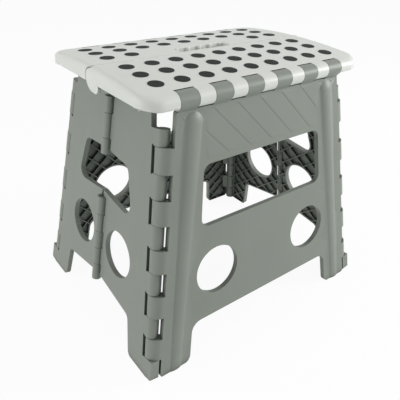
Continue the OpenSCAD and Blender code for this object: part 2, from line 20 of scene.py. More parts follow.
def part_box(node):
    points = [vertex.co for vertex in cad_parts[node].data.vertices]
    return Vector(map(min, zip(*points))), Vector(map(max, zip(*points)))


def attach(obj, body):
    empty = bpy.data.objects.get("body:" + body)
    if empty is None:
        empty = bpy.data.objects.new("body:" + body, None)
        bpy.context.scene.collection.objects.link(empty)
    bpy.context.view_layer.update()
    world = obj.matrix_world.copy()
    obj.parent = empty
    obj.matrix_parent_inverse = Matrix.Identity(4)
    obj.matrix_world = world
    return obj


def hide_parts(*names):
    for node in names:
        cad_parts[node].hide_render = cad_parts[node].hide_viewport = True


MM = 0.001
Socket = bpy.types.NodeSocket
LOG = logging.getLogger("step_stool")

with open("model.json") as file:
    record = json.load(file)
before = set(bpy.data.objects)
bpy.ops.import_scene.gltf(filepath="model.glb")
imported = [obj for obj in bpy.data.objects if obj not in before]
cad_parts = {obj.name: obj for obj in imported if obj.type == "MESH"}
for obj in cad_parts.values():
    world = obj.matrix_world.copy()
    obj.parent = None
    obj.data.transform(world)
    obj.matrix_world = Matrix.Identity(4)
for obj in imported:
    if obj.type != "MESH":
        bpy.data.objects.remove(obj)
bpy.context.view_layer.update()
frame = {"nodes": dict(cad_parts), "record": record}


class Slot(Enum):
    """Material slots of the record, one for each kind of finish."""

    STAND = "stand_plastic"
    SEAT = "seat_plastic"
    PADS = "grip_rubber"
    PINS = "pin_steel"


class Half(Enum):
    """The two halves of the seat, by the side of the seam that each is on."""

    FRONT = -1
    REAR = 1


# ---- Colour and node helpers -------------------------------------------------


def linear(code: str, alpha: float = 1.0) -> tuple[float, float, float, float]:
    """Turns an sRGB hex colour into the linear colour that a shader takes.

    Args:
        code: The colour as six hex digits with a leading hash.
        alpha: The fourth value of the result.

    Returns:
        Linear red, green and blue, then alpha.
    """
    parts = [int(code[i : i + 2], 16) / 255 for i in (1, 3, 5)]
    red, green, blue = (
        c / 12.92 if c <= 0.04045 else ((c + 0.055) / 1.055) ** 2.4 for c in parts
    )
    return red, green, blue, alpha


def add_node(
    tree: bpy.types.NodeTree,
    kind: str,
    settings: dict[str, object] | None = None,
    values: dict[int | str, object] | None = None,
    links: dict[int | str, Socket] | None = None,
) -> bpy.types.Node:
    """Adds a node to a tree with its settings, socket values and links.

    Args:
        tree: The node tree.
        kind: The node's type name.
        settings: Properties to set on the node.
        values: Default values by input name or number.
        links: Output sockets to join to inputs, by input name or number.

    Returns:
        The new node.
    """
    node = tree.nodes.new(kind)
    for name, value in (settings or {}).items():
        setattr(node, name, value)
    for key, value in (values or {}).items():
        node.inputs[key].default_value = value
    for key, socket in (links or {}).items():
        tree.links.new(socket, node.inputs[key])
    return node


def new_material(
    name: str,
) -> tuple[bpy.types.Material, bpy.types.NodeTree, bpy.types.Node, Socket]:
    """Makes a material whose patterns lie on Object coordinates.

    Args:
        name: The material's name.

    Returns:
        The material, its tree, its shader and the coordinates.
    """
    made = bpy.data.materials.new(name)
    made.use_nodes = True
    tree = made.node_tree
    place = add_node(tree, "ShaderNodeTexCoord").outputs["Object"]
    return made, tree, tree.nodes["Principled BSDF"], place


def spread(
    tree: bpy.types.NodeTree, place: Socket, size_mm: float, **more: float
) -> Socket:
    """Adds a noise pattern.

    Args:
        tree: The node tree.
        place: Coordinates of the pattern.
        size_mm: Size of its largest patches.
        **more: Other values of the noise, such as Detail.

    Returns:
        The noise, from 0 to 1.
    """
    values = {"Scale": 1 / (size_mm * MM), **more}
    return add_node(
        tree, "ShaderNodeTexNoise", values=values, links={"Vector": place}
    ).outputs["Fac"]


def blend(
    tree: bpy.types.NodeTree, share: Socket, first: Socket | str, second: str
) -> Socket:
    """Mixes two colours.

    Args:
        tree: The node tree.
        share: How much of the second colour there is.
        first: The first colour, as a socket or an sRGB hex code.
        second: The second colour, as an sRGB hex code.

    Returns:
        The mixed colour.
    """
    values = {7: linear(second)}
    links = {0: share}
    if isinstance(first, str):
        values[6] = linear(first)
    else:
        links[6] = first
    node = add_node(tree, "ShaderNodeMix", {"data_type": "RGBA"}, values, links)
    return node.outputs[2]


# ---- Finishes ----------------------------------------------------------------


@dataclass(frozen=True)
class MouldedPolypropylene:
    """Polypropylene from a lightly etched injection mould.

    It gives the eye a soft satin sheen, a very fine grain, slow cloudy changes
    of tone from the melt's flow, a few pale scuffs from use, and painted shade
    that darkens it where faces crowd close.
    """

    name: str
    colour: str
    cloud_colour: str
    scuff_colour: str
    roughness: float = 0.46
    grain_mm: float = 0.9
    cloud_mm: float = 60.0
    scuff_mm: float = 26.0
    grain_height_mm: float = 0.02
    scuff_share: float = 0.10
    # painted shade in crevices: its colour, how far nearby faces count, and its share
    # at the deepest spots
    crevice_shade_colour: str = "#3a3d39"
    crevice_shade_reach_mm: float = 12.0
    crevice_shade_share: float = 0.85
    relief_pitch_mm: float = 0.0
    relief_height_mm: float = 0.38
    relief_z_mm: tuple[float, float] = (240.0, 292.0)
    relief_x_mm: float = 84.0
    relief_rise: float = 0.09
    relief_fade_mm: float = 4.0
    relief_side_fade_mm: float = 6.0

    def relief(
        self,
        tree: bpy.types.NodeTree,
        place: Socket,
        skin: Socket,
    ) -> Socket:
        """Adds the shallow diagonal steps moulded above a panel's window.

        The height rises quickly and falls slowly across each step, and the
        steps run at 45 degrees, from high on the left to low on the right.

        Args:
            tree: The material's nodes.
            place: Object coordinates.
            skin: The normal of the finer grain.

        Returns:
            The normal with the steps added.
        """

        def fade(value: Socket, start: float, end: float) -> Socket:
            """Goes from 0 at start to 1 at end, both in millimetres."""
            return add_node(
                tree,
                "ShaderNodeMapRange",
                {"clamp": True, "interpolation_type": "SMOOTHSTEP"},
                {"From Min": start * MM, "From Max": end * MM},
                {"Value": value},
            ).outputs["Result"]

        def join(kind: str, *ends: Socket | float) -> Socket:
            """Joins two values, or changes one, by a Math node."""
            node = add_node(tree, "ShaderNodeMath", {"operation": kind})
            for i, end in enumerate(ends):
                if isinstance(end, float):
                    node.inputs[i].default_value = end
                else:
                    tree.links.new(end, node.inputs[i])
            return node.outputs[0]

        axes = add_node(tree, "ShaderNodeSeparateXYZ", links={"Vector": place})
        x, z = axes.outputs["X"], axes.outputs["Z"]
        across = join("ADD", x, z)
        turns = join("MULTIPLY", across, 1 / (math.sqrt(2) * self.relief_pitch_mm * MM))
        part = join("FRACT", turns)
        rise = add_node(
            tree,
            "ShaderNodeMapRange",
            {"clamp": True, "interpolation_type": "SMOOTHSTEP"},
            {"From Max": self.relief_rise},
            {"Value": part},
        ).outputs["Result"]
        step = join("SUBTRACT", rise, part)
        low, high = self.relief_z_mm
        edge, side = self.relief_fade_mm, self.relief_x_mm
        inside = join("MULTIPLY", fade(z, low, low + edge), fade(z, high, high - edge))
        middle = fade(join("ABSOLUTE", x), side, side - self.relief_side_fade_mm)
        height = join("MULTIPLY", step, join("MULTIPLY", inside, middle))
        return add_node(
            tree,
            "ShaderNodeBump",
            values={"Strength": 1.0, "Distance": self.relief_height_mm * MM},
            links={"Height": height, "Normal": skin},
        ).outputs["Normal"]

    def material(self) -> bpy.types.Material:
        """Builds the material.

        Returns:
            The material, on Object coordinates.
        """
        made, tree, shader, place = new_material(self.name)
        clouds = spread(tree, place, self.cloud_mm, Detail=3.0, Roughness=0.5)
        tone = blend(tree, clouds, self.colour, self.cloud_colour)
        # scuffs are long and thin, so their pattern is squeezed along one way
        squeezed = add_node(
            tree,
            "ShaderNodeMapping",
            values={"Scale": (1.0, 1.0, 0.22), "Rotation": (0.5, 0.9, 0.4)},
            links={"Vector": place},
        )
        along = squeezed.outputs["Vector"]
        scratches = spread(tree, along, self.scuff_mm, Detail=6.0, Roughness=0.72)
        marks = add_node(
            tree,
            "ShaderNodeMapRange",
            {"clamp": True},
            {"From Min": 0.60, "From Max": 0.74, "To Max": self.scuff_share},
            {"Value": scratches},
        )
        worn = blend(tree, marks.outputs["Result"], tone, self.scuff_colour)
        sheen = add_node(
            tree,
            "ShaderNodeMapRange",
            values={"To Min": self.roughness - 0.06, "To Max": self.roughness + 0.08},
            links={"Value": scratches},
        )
        grain = spread(tree, place, self.grain_mm, Detail=2.0)
        skin = add_node(
            tree,
            "ShaderNodeBump",
            values={"Strength": 0.35, "Distance": self.grain_height_mm * MM},
            links={"Height": grain},
        )
        # painted shade: the colour goes towards a dark grey where a spot is hemmed in
        # by faces close to it, standing in for the shade in crevices, gaps and pockets
        shelter = add_node(
            tree,
            "ShaderNodeAmbientOcclusion",
            {"samples": 6},
            {"Distance": self.crevice_shade_reach_mm * MM},
        )
        shade_amount = add_node(
            tree,
            "ShaderNodeMapRange",
            {"clamp": True},
            {"From Min": 0.88, "From Max": 0.35, "To Max": self.crevice_shade_share},
            {"Value": shelter.outputs["AO"]},
        )
        shaded_tone = blend(tree, shade_amount.outputs["Result"], worn, self.crevice_shade_colour)
        tree.links.new(shaded_tone, shader.inputs["Base Color"])
        tree.links.new(sheen.outputs["Result"], shader.inputs["Roughness"])
        normal = skin.outputs["Normal"]
        if self.relief_pitch_mm:
            normal = self.relief(tree, place, normal)
        tree.links.new(normal, shader.inputs["Normal"])
        shader.inputs["IOR"].default_value = 1.49
        return made


@dataclass(frozen=True)
class MouldedRubber:
    """Thermoplastic rubber moulded as small flat pads, with a dead matt skin."""

    name: str
    colour: str
    dust_colour: str
    roughness: float = 0.85
    bend: float = 1.34
    grain_mm: float = 0.7
    grain_height_mm: float = 0.05

    def material(self) -> bpy.types.Material:
        """Builds the material.

        Returns:
            The material, on Object coordinates.
        """
        made, tree, shader, place = new_material(self.name)
        grain = spread(tree, place, self.grain_mm, Detail=3.0)
        dust = add_node(
            tree,
            "ShaderNodeMapRange",
            {"clamp": True},
            {"From Min": 0.45, "From Max": 0.8, "To Max": 0.35},
            {"Value": grain},
        )
        tone = blend(tree, dust.outputs["Result"], self.colour, self.dust_colour)
        skin = add_node(
            tree,
            "ShaderNodeBump",
            values={"Strength": 0.6, "Distance": self.grain_height_mm * MM},
            links={"Height": grain},
        )
        tree.links.new(tone, shader.inputs["Base Color"])
        tree.links.new(skin.outputs["Normal"], shader.inputs["Normal"])
        shader.inputs["Roughness"].default_value = self.roughness
        shader.inputs["IOR"].default_value = self.bend
        return made


@dataclass(frozen=True)
class DrawnSteel:
    """Bright steel wire, drawn through a die, with fine lines round it."""

    name: str
    colour: str
    roughness: float = 0.32
    line_mm: float = 0.3

    def material(self) -> bpy.types.Material:
        """Builds the material.

        Returns:
            The material, on Object coordinates.
        """
        made, tree, shader, place = new_material(self.name)
        lines = spread(tree, place, self.line_mm, Detail=2.0)
        gloss = add_node(
            tree,
            "ShaderNodeMapRange",
            values={"To Min": self.roughness - 0.08, "To Max": self.roughness + 0.12},
            links={"Value": lines},
        )
        tree.links.new(gloss.outputs["Result"], shader.inputs["Roughness"])
        shader.inputs["Base Color"].default_value = linear(self.colour)
        shader.inputs["Metallic"].default_value = 1.0
        return made


GREY_PANELS = MouldedPolypropylene(
    "moulded_polypropylene_grey", "#868d84", "#7e857c", "#a3a89e"
)
STEPPED_GREY_PANELS = replace(
    GREY_PANELS, name="moulded_polypropylene_grey_stepped", relief_pitch_mm=22.0
)
OFF_WHITE_SEAT = MouldedPolypropylene(
    "moulded_polypropylene_off_white",
    "#dde0db",
    "#d6d9d3",
    "#c9cbc5",
    roughness=0.42,
    scuff_share=0.25,
    # painted shade in the seat's crevices, paler than on the grey panels
    crevice_shade_colour="#8c8f89",
    crevice_shade_share=0.45,
)
GRIP_RUBBER = MouldedRubber("moulded_rubber_dark_grey", "#1e201e", "#353734")
PIN_STEEL = DrawnSteel("drawn_steel_wire", "#c3c5c7")


# ---- Mesh helpers ------------------------------------------------------------


def surface(
    name: str, patches: list[np.ndarray], weld_mm: float = 0.0
) -> bpy.types.Object:
    """Makes one object from several grids of points.

    Each grid is rows by columns of points in millimetres. Neighbouring points
    make quads, and a quad with a point that is not a number is left out.

    Args:
        name: The object's name.
        patches: Arrays of shape (rows, columns, 3).
        weld_mm: Points closer than this become one.

    Returns:
        The object, in metres, at the origin.
    """
    points, quads, start = [], [], 0
    for grid in patches:
        rows, columns = grid.shape[:2]
        index = np.arange(rows * columns).reshape(rows, columns)
        faces = np.stack(
            [index[:-1, :-1], index[:-1, 1:], index[1:, 1:], index[1:, :-1]], -1
        ).reshape(-1, 4)
        flat = grid.reshape(-1, 3)
        whole = ~np.isnan(flat[faces]).any((1, 2))
        points.append(np.nan_to_num(flat))
        quads.append(faces[whole] + start)
        start += rows * columns
    mesh = bpy.data.meshes.new(name)
    mesh.from_pydata(np.concatenate(points) * MM, [], np.concatenate(quads).tolist())
    merge(mesh, weld_mm)
    made = bpy.data.objects.new(name, mesh)
    bpy.context.scene.collection.objects.link(made)
    return made


def merge(mesh: bpy.types.Mesh, weld_mm: float) -> None:
    """Joins points that lie together and drops faces and points left over.

    Args:
        mesh: The mesh, changed in place.
        weld_mm: Points closer than this become one.
    """
    work = bmesh.new()
    work.from_mesh(mesh)
    bmesh.ops.remove_doubles(work, verts=work.verts, dist=max(weld_mm, 1e-4) * MM)
    bmesh.ops.delete(
        work, geom=[v for v in work.verts if not v.link_faces], context="VERTS"
    )
    work.to_mesh(mesh)
    work.free()


def turn_outwards(mesh: bpy.types.Mesh, sharp_degrees: float) -> None:
    """Turns the faces of a mesh outwards and shades it smooth.

    Args:
        mesh: The mesh, changed in place.
        sharp_degrees: Edges that bend by more than this stay sharp.
    """
    work = bmesh.new()
    work.from_mesh(mesh)
    bmesh.ops.recalc_face_normals(work, faces=work.faces)
    work.to_mesh(mesh)
    work.free()
    mesh.shade_smooth()
    mesh.set_sharp_from_angle(angle=math.radians(sharp_degrees))


def ease(piece: bpy.types.Object, width_mm: float, segments: int = 2) -> None:
    """Rounds the sharp edges of a piece as the radii of a mould do.

    Args:
        piece: The object, its mesh merged.
        width_mm: Width of the rounding.
        segments: Faces across the rounding.
    """
    piece.data.shade_smooth()
    piece.data.set_sharp_from_angle(angle=math.radians(11))
    bevel = piece.modifiers.new("mould_radius", "BEVEL")
    bevel.width = width_mm * MM
    bevel.segments = segments
    bevel.limit_method = "ANGLE"
    bevel.angle_limit = math.radians(28)
    bevel.miter_outer = "MITER_ARC"
    flat = piece.modifiers.new("flat_faces", "WEIGHTED_NORMAL")
    flat.mode = "FACE_AREA"
    flat.weight = 50
    flat.keep_sharp = True


def eased_copy(node: str, width_mm: float) -> bpy.types.Object:
    """Copies a CAD node, merges the copy and rounds its edges.

    Args:
        node: The node's name.
        width_mm: Width of the rounding.

    Returns:
        The copy, which stands for the node.
    """
    source = frame["nodes"][node]
    mesh = source.data.copy()
    mesh.name = node + "_moulded"
    mesh.materials.clear()
    merge(mesh, 0.002)
    made = bpy.data.objects.new(node + "_moulded", mesh)
    bpy.context.scene.collection.objects.link(made)
    ease(made, width_mm)
    return made


def body_with(node: str) -> str:
    """Names the CAD body that a node rides on."""
    bodies = frame["record"]["behaviour"]["bodies"]
    return next(body for body, nodes in bodies.items() if node in nodes)


def dress(
    piece: bpy.types.Object, material: bpy.types.Material, slot: Slot, *nodes: str
) -> None:
    """Gives a piece its finish, its body and the nodes that it stands for.

    Args:
        piece: The object.
        material: Its finish.
        slot: The record's slot for that finish; not used.
        *nodes: CAD nodes; the piece rides with the first and replaces them all.
    """
    piece.data.materials.clear()
    piece.data.materials.append(material)
    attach(piece, body_with(nodes[0]))
    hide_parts(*nodes)
    LOG.info("%s stands for %s", piece.name, ", ".join(nodes))


# ---- Seat --------------------------------------------------------------------


def steps(*stops: tuple[float, int]) -> np.ndarray:
    """Joins runs of evenly spaced values.

    Args:
        *stops: Pairs of a value and the number of steps that lead to it from
            the one before; the first pair only starts the run.

    Returns:
        All the values in order.
    """
    runs = [np.array([stops[0][0]], float)]
    for (start, _), (end, count) in zip(stops[:-1], stops[1:]):
        runs.append(np.linspace(start, end, count + 1)[1:])
    return np.concatenate(runs)


def smooth(t: np.ndarray) -> np.ndarray:
    """Goes from 0 to 1 with flat ends as t goes from 0 to 1."""
    t = np.clip(t, 0.0, 1.0)
    return t * t * (3 - 2 * t)


@dataclass
class SeatSkin:
    """Outer skin of one half of the seat, sizes in millimetres.

    Plan points are x along the seat and v outwards from the seam. The top is a
    crown: a cylinder along x whose axis lies crown_radius below the top line.
    """

    half: Half
    top: float
    half_length: float
    crown_radius: float = 850.0
    hinge_v: float = 98.4
    hinge_z: float = 302.82
    nose: float = 9.0
    corner: float = 22.0
    side_radius: float = 5.5
    rim_depth: float = 16.6
    side_tuck: float = 0.8
    nose_tuck: float = 3.0
    end_drop: float = 5.05
    end_flat: float = 137.5
    end_slope: float = 0.19
    end_inside: float = 16.4
    wall: float = 2.8
    seam: float = 0.15
    seam_roll: float = 0.4
    roll_end: float = 6.0
    hook_half: float = 113.58
    finger: float = 19.5
    hook_count: int = 6
    notch_v: float = 94.3
    notch_gap: float = 0.4
    lobe_v: float = -3.5
    lobe_drop: float = 13.0
    lobe_radius: float = 12.8
    lobe_gap: float = 0.5
    lobe_roll: float = 0.8
    chin: tuple[float, float] = (-5.3, -5.2)
    chin_radius: float = 8.0
    tabs: tuple[tuple[float, float], ...] = ((101.0, 116.0), (71.0, 86.0))
    tab_reach: float = 2.6
    tab_gap: float = 0.4
    slot_half: float = 37.0
    slot_near: float = 2.0
    slot_far: float = 18.5
    slot_round: float = 5.0
    slot_lip: float = 0.9
    slot_depth: float = 12.0
    groove_count: int = 4
    groove_bump: float = 4.0
    groove_margin: float = 4.0
    groove_set: float = 1.5
    field_x: float = 44.0
    field_v: float = 24.0

    def crown(self, v: np.ndarray | float) -> np.ndarray:
        """Height of the crown at distance v from the seam: a circular arc."""
        rise = np.sqrt(self.crown_radius**2 - np.square(v))
        return self.top - self.crown_radius + rise

    def on_crown(self, x: np.ndarray, v: np.ndarray, down: float = 0.0) -> np.ndarray:
        """Lays plan points on the crown.

        Args:
            x: Places along the seat.
            v: Distances from the seam.
            down: Depth below the crown.

        Returns:
            Points in the frame's axes.
        """
        x, v = np.broadcast_arrays(x, v)
        return np.stack([x, self.half.value * v, self.crown(v) - down], -1)

    def hooks(self) -> list[tuple[float, float]]:
        """Ranges of x that the panel's hooks take from the nose."""
        pitch = (2 * self.hook_half + self.finger) / self.hook_count
        width = pitch - self.finger
        places = (np.arange(self.hook_count) - (self.hook_count - 1) / 2) * pitch
        side = width / 2 + self.notch_gap
        return [(x - side, x + side) for x in places]

    def all_tabs(self) -> list[tuple[float, float]]:
        """Ranges of x that the seam's tabs take, from left to right."""
        return sorted([*self.tabs, *((-high, -low) for low, high in self.tabs)])

    def slot_edge(self, d: float, far: bool) -> tuple[np.ndarray, np.ndarray]:
        """One long edge of the hand slot, grown by d.

        The near edge is straight with quarter circles at its ends. The far edge
        also has round bumps between the fingers.

        Args:
            d: How far the edge is moved into the skin.
            far: True for the edge away from the seam.

        Returns:
            Places along the seat, and distances from the seam.
        """
        share = steps((-1, 0), (-0.86, 7), (0.86, 84), (1, 7))
        length, r = self.slot_half + d, self.slot_round + d
        x = length * share
        over = np.clip(np.abs(x) - (length - r), 0, r)
        inwards = r - np.sqrt(np.maximum(r * r - over * over, 0))
        if not far:
            return x, self.slot_near - d + inwards
        v = self.slot_far + d - inwards
        pitch = 2 * (self.slot_half - self.groove_margin) / self.groove_count
        bump = self.groove_bump - d
        for i in range(self.groove_count + 1):
            dx = x - (i - self.groove_count / 2) * pitch
            reach = np.sqrt(np.maximum(bump * bump - dx * dx, 0))
            bumped = np.minimum(v, self.slot_far + self.groove_set - reach)
            v = np.where(reach > 0, bumped, v)
        return x, v

    def samples(self) -> tuple[np.ndarray, np.ndarray]:
        """Grid lines of the top: places along the seat, and distances from the seam."""
        inner_x = self.half_length - self.corner
        cuts = {inner_x}
        for low, high in self.hooks():
            cuts |= {low, high}
        for low, high in self.tabs:
            cuts |= {low, high}
        middle = np.array(sorted(c for c in cuts if abs(c) < self.field_x))
        cuts = {round(abs(c), 4) for c in cuts if abs(c) > self.field_x + 1}
        if self.half is Half.REAR:
            middle = np.union1d(middle, self.slot_edge(self.slot_lip, False)[0])
            cuts |= {self.field_x}
        outer = [middle[-1], *sorted(cuts)]
        runs = [(outer[0], 0)]
        for low, high in zip(outer[:-1], outer[1:]):
            runs.append((high, max(1, round((high - low) / 5))))
        right = steps(*runs)[1:]
        x = np.concatenate([-right[::-1], middle, right])
        near_v = self.slot_near + self.slot_round
        far_v = self.slot_far - self.slot_round
        first = self.seam + self.seam_roll
        v = steps(
            (first, 0),
            (self.tab_reach + self.tab_gap, 2),
            (near_v, 2),
            (far_v, 3),
            (self.field_v, 4),
            (self.hinge_v + self.nose - self.corner, 16),
        )
        return x, v

    def outline(self) -> tuple[np.ndarray, ...]:
        """Plan outline from the seam's left end round to its right end.

        Returns:
            Point x, point v, outward normal x, outward normal v.
        """
        x, v = self.samples()
        front_v = self.hinge_v + self.nose
        inner_x, inner_v = self.half_length - self.corner, front_v - self.corner
        turn = np.linspace(0, math.pi / 2, 17)[1:-1]
        top = x[(x > -inner_x - 1e-6) & (x < inner_x + 1e-6)]
        side, front = np.ones(len(v)), np.ones(len(top))
        across, out = np.cos(turn), np.sin(turn)
        corner_x, corner_v = inner_x + self.corner * across, inner_v + self.corner * out
        half = side * self.half_length
        px = np.concatenate([-half, -corner_x, top, corner_x[::-1], half])
        pv = np.concatenate([v, corner_v, front * front_v, corner_v[::-1], v[::-1]])
        nx = np.concatenate([-side, -across, front * 0, across[::-1], side])
        nv = np.concatenate([side * 0, out, front, out[::-1], side * 0])
        return px, pv, nx, nv

    def edge_rows(self) -> tuple[np.ndarray, np.ndarray]:
        """Rows of the rolled edge, from the crown round the fillet and down.

        At each outline point the section is a circle of radius e that touches
        the crown and the wall, then the wall, then a quarter circle of radius b
        that tucks under, and a strip as wide as the wall.

        Returns:
            Grid of the flat part of the edge and of the rolled part, which share
            their first and last rows.
        """
        px, pv, nx, nv = self.outline()
        e = self.side_radius + (self.nose - self.side_radius) * smooth(nv)
        start = np.zeros_like(e)
        for _ in range(3):
            touch = pv - nv * e * (1 - np.sin(start))
            start = np.arcsin(nv * touch / self.crown_radius)
        middle = self.crown(pv - nv * e * (1 - np.sin(start))) - e * np.cos(start)
        share = np.linspace(0, 1, 11)[:, None]
        a = start + (math.pi / 2 - start) * share
        inwards, height = e * (1 - np.sin(a)), middle + e * np.cos(a)
        # bottom of the edge: the rim at the sides, lower at the two ends of the
        # nose, and a full half round on the fingers between the hooks
        rim = self.top - self.rim_depth
        end_low = self.hinge_z - self.end_drop
        end_low = end_low + self.end_slope * np.maximum(np.abs(px) - self.end_flat, 0)
        low = rim + (end_low - rim) * smooth(nv * 8)
        tuck = self.side_tuck + (self.nose_tuck - self.side_tuck) * smooth(nv)
        finger = (nv > 0.999) & (np.abs(px) < self.hook_half + self.notch_gap + 1e-3)
        low = np.where(finger, self.hinge_z - self.nose, low)
        tuck = np.where(finger, self.nose, tuck)
        straight = np.linspace(0, 1, 5)[1:, None] * (middle - low - tuck)
        b = np.linspace(0, math.pi / 2, 9)[1:, None]
        depth = self.wall + (self.end_inside - self.wall) * smooth(nv * 3)
        under = np.maximum(np.where(finger, 0, depth) - tuck, 0.1)
        rolled_in, rolled_down = tuck * (1 - np.cos(b)), low + tuck * (1 - np.sin(b))
        last = (tuck + under)[None]
        inwards = np.concatenate([inwards, np.zeros_like(straight), rolled_in, last])
        height = np.concatenate([height, middle - straight, rolled_down, low[None]])
        x, v = px - nx * inwards, pv - nv * inwards
        v = self.round_lobe(x, v, height)
        rolled = np.stack([x, self.half.value * v, height], -1)
        # flat part, from the rectangle inside the corners out to the fillet
        inner_x = self.half_length - self.corner
        inner_v = self.hinge_v + self.nose - self.corner
        to_x, to_v = np.clip(px, -inner_x, inner_x), np.minimum(pv, inner_v)
        from_x, from_v = x[0], v[0]
        front = from_v.max()
        notch = (front - self.notch_v) / (front - inner_v)
        w = np.array([1.0, 0.68, notch, 0.18, 0.0])[:, None]
        flat = self.on_crown(from_x + (to_x - from_x) * w, from_v + (to_v - from_v) * w)
        return flat, rolled

    def round_lobe(self, x: np.ndarray, v: np.ndarray, z: np.ndarray) -> np.ndarray:
        """Moves the rear half's ends back to run round the front half's lobes.

        The end of the wall follows a circle, and the points behind it are
        squeezed evenly over the next 30 mm.
        """
        if self.half is Half.FRONT:
            return v
        reach, far = self.lobe_radius + self.lobe_gap, 30.0
        rise = z - (self.top - self.lobe_drop)
        first = self.seam + self.seam_roll
        half_chord = np.sqrt(np.maximum(reach**2 - rise**2, 0))
        edge = np.maximum(self.lobe_v + half_chord, first)
        at_side = np.abs(x) > self.half_length - self.side_radius - 0.5
        moved = edge + (v - first) * (far - edge) / (far - first)
        return np.where(at_side & (v < far), moved, v)

    def edge(self) -> list[np.ndarray]:
        """Patches of the edge, without the notches for the hooks."""
        flat, rolled = self.edge_rows()
        px, _, _, nv = self.outline()
        outer = np.concatenate([flat[2:], rolled[1:]])
        patches, first = [flat[:3]], 0
        for low, high in self.hooks():
            stop = int(np.where((nv > 0.999) & (px <= low + 1e-3))[0][-1])
            patches.append(outer[:, first : stop + 1])
            first = int(np.where((nv > 0.999) & (px >= high - 1e-3))[0][0])
        patches.append(outer[:, first:])
        return patches

    def field(self) -> list[np.ndarray]:
        """Patches of the flat of the crown inside the edge."""
        x, v = self.samples()
        x = x[np.abs(x) <= self.half_length - self.corner + 1e-6]

        def block(xs: np.ndarray, vs: np.ndarray) -> np.ndarray:
            """A rectangle of the crown between grid lines."""
            return self.on_crown(xs[None, :], vs[:, None])

        if self.half is Half.FRONT:
            window = self.tab_reach + self.tab_gap
            patches = [block(x, v[v >= window - 1e-6])]
            low_v = v[v <= window + 1e-6]
            start = x[0]
            for low, high in self.all_tabs():
                patches.append(block(x[(x >= start - 1e-3) & (x <= low + 1e-3)], low_v))
                start = high
            patches.append(block(x[x >= start - 1e-3], low_v))
            return patches
        near, far = v[v <= self.field_v + 1e-6], v[v >= self.field_v - 1e-6]
        patches = [block(x, far)]
        edge_x = self.slot_half + self.slot_lip
        for side in (-1, 1):
            out = x[side * x >= edge_x - 1e-6]
            patches.append(block(out, near))
        share = np.linspace(0, 1, 5)[:, None]
        nx, nv = self.slot_edge(self.slot_lip, False)
        fx, fv = self.slot_edge(self.slot_lip, True)
        patches.append(self.on_crown(nx[None], v[0] + (nv - v[0]) * share))
        patches.append(self.on_crown(fx[None], fv + (self.field_v - fv) * share))
        for low, high in self.all_tabs():
            tab = x[(x >= low - 1e-3) & (x <= high + 1e-3)]
            patches.append(block(tab, np.array([-self.tab_reach, -1.0, v[0]])))
        return patches

    def slot_walls(self) -> list[np.ndarray]:
        """Rolled lip and walls of the hand slot.

        Each wall is the slot's edge carried along a quarter circle of the lip's
        radius and then straight down.
        """
        if self.half is Half.FRONT:
            return []
        a = np.linspace(0, math.pi / 2, 6)
        grow = np.concatenate([self.slot_lip * (1 - np.sin(a)), [0.0, 0.0]])
        down = np.concatenate([self.slot_lip * (1 - np.cos(a)), [5.0, self.slot_depth]])
        walls = []
        for far in (False, True):
            rows = [
                self.on_crown(*self.slot_edge(g, far), down=d)
                for g, d in zip(grow, down)
            ]
            walls.append(np.stack(rows))
        near_v = self.slot_near + self.slot_round
        across = np.linspace(near_v, self.slot_far - self.slot_round, 4)
        for side in (-1, 1):
            rows = [
                self.on_crown(np.full(4, side * (self.slot_half + g)), across, down=d)
                for g, d in zip(grow, down)
            ]
            walls.append(np.stack(rows))
        return walls

    def seam_rolls(self) -> list[np.ndarray]:
        """Small radius along the seam: a quarter circle down from the crown."""
        x, _ = self.samples()
        end = self.half_length - self.roll_end
        x = np.concatenate([[-end], x[1:-1], [end]])
        a = np.linspace(0, math.pi / 2, 5)
        back = np.concatenate([self.seam_roll * (1 - np.sin(a)), [0.0]])
        down = np.concatenate([self.seam_roll * (1 - np.cos(a)), [2.6]])
        rows = self.on_crown(x[None, :], (self.seam + back)[:, None])
        rows[..., 2] -= down[:, None]
        patches, start = [], x[0]
        for low, high in self.all_tabs():
            patches.append(rows[:, (x >= start - 1e-3) & (x <= low + 1e-3)])
            start = high
        patches.append(rows[:, x >= start - 1e-3])
        return patches

    def build(self, name: str) -> bpy.types.Object:
        """Joins the patches into the outer skin.

        Args:
            name: The object's name.

        Returns:
            The skin, its faces turned outwards.
        """
        patches = [*self.field(), *self.edge(), *self.slot_walls(), *self.seam_rolls()]
        made = surface(name, patches, weld_mm=0.01)
        turn_outwards(made.data, 40)
        return made


